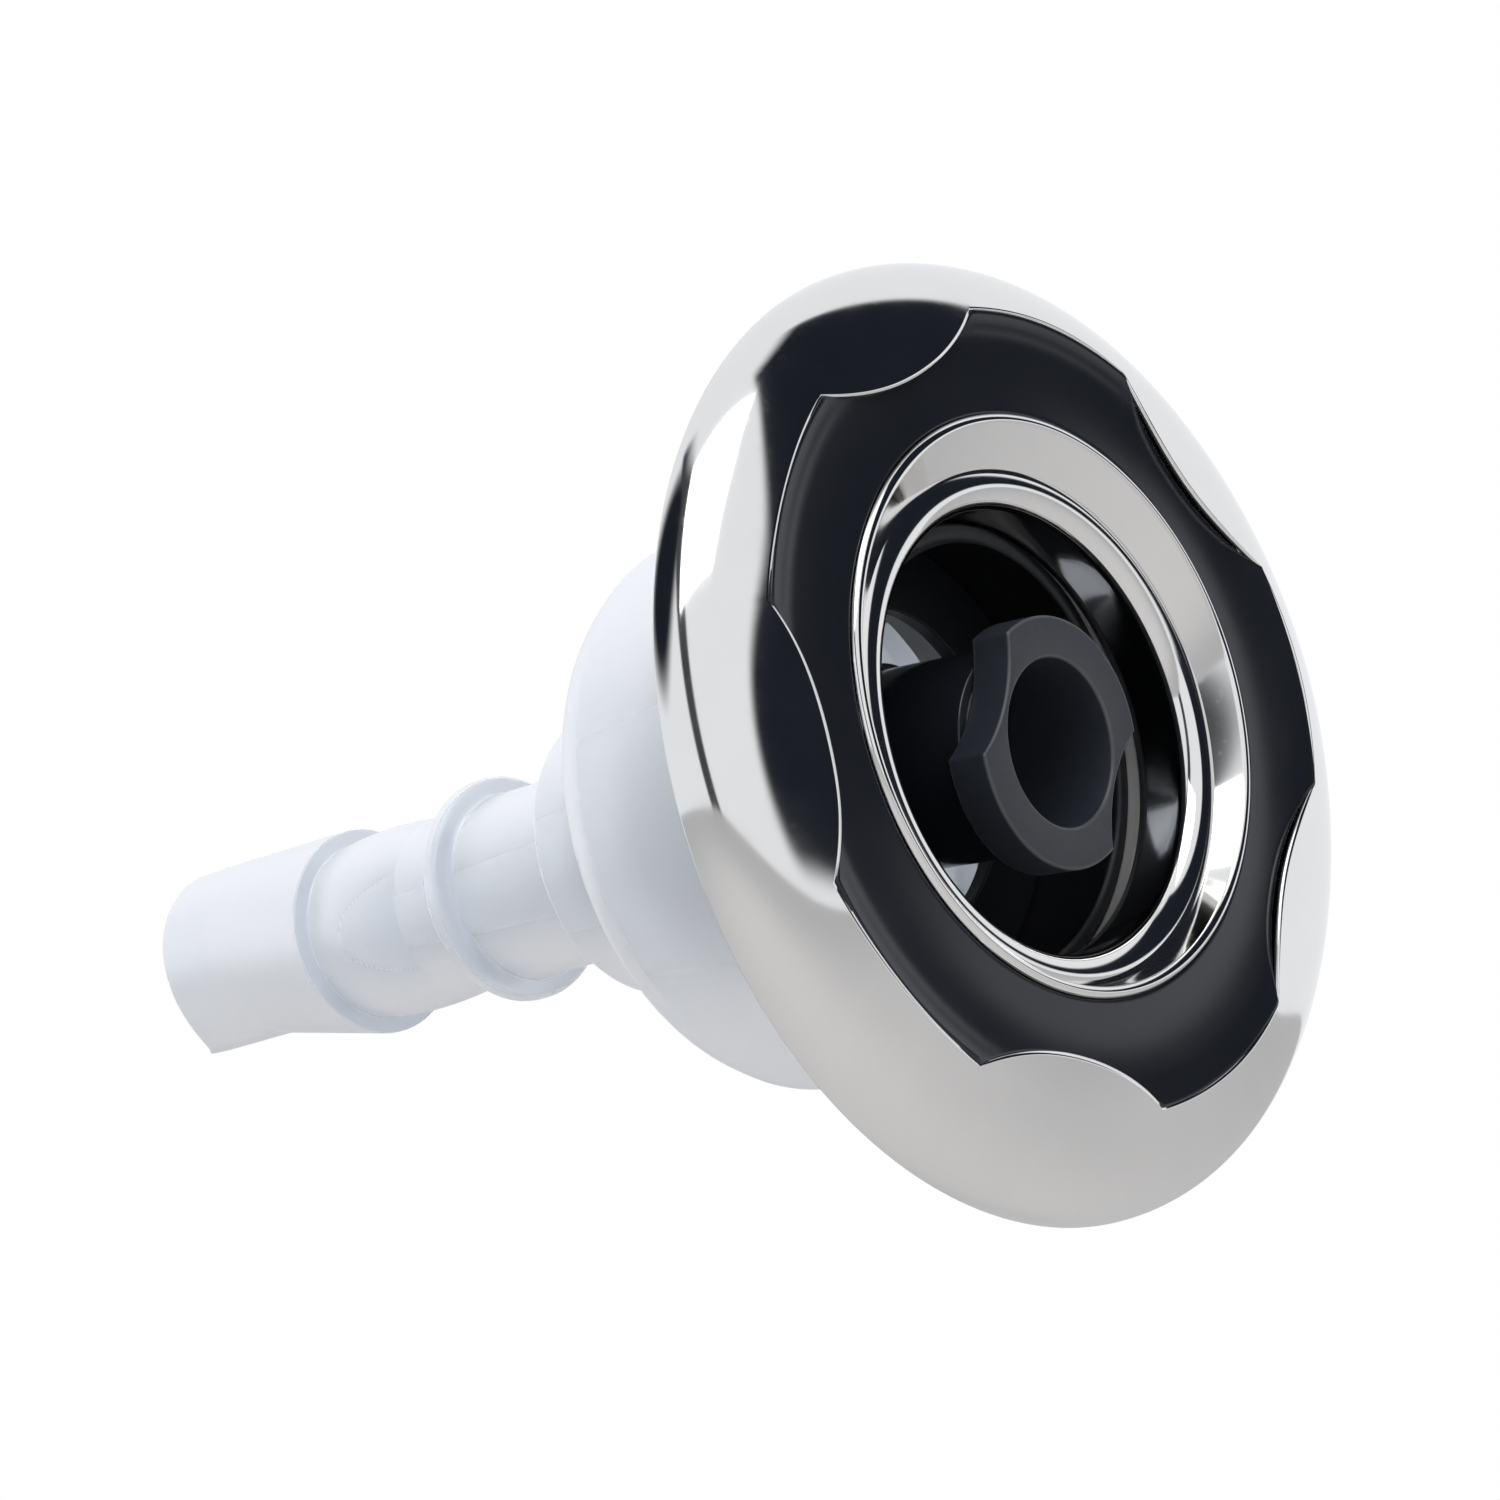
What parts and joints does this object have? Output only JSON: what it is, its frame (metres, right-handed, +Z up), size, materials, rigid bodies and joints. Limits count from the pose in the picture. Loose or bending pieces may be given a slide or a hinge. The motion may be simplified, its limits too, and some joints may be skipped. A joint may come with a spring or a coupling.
{
  "type": "hot tub jet",
  "caption": "Hot tub jet insert with a scalloped steel and black face, a swivelling nozzle in a ball, a milky bowl and a feed barrel with an eccentric tail.",
  "frame": {"origin": "on the jet's axis in the plane where the face's rim seats on the tub's shell", "axes": "-Y out of the face along the jet's axis, +Y to the tail, +Z up"},
  "size_m": [0.127, 0.1827, 0.127],
  "materials": {
    "polished_steel": "polished",
    "black_plastic": "gloss",
    "grey_plastic": "satin",
    "milky_plastic": "translucent satin",
    "white_acetal": "satin"
  },
  "bodies": {
    "housing": {"escutcheon": "polished_steel", "face_plate": "black_plastic", "mouth_trim": "polished_steel", "keeper_ring": "white_acetal", "bowl": "milky_plastic", "barrel": "milky_plastic"},
    "seat": {"seat_ring": "white_acetal"},
    "ball": {"eyeball": "black_plastic", "nozzle": "grey_plastic"}
  },
  "joints": [
    {"name": "seat_turn", "type": "hinge", "parent": "housing", "child": "seat", "pos_m": [0, 0.02, 0], "axis": [0, 1, 0], "continuous": true},
    {"name": "ball_tilt", "type": "hinge", "parent": "seat", "child": "ball", "pos_m": [0, 0.02, 0], "axis": [0.8625, 0, 0.506], "range_deg": [-16.6, 5.4]}
  ]
}
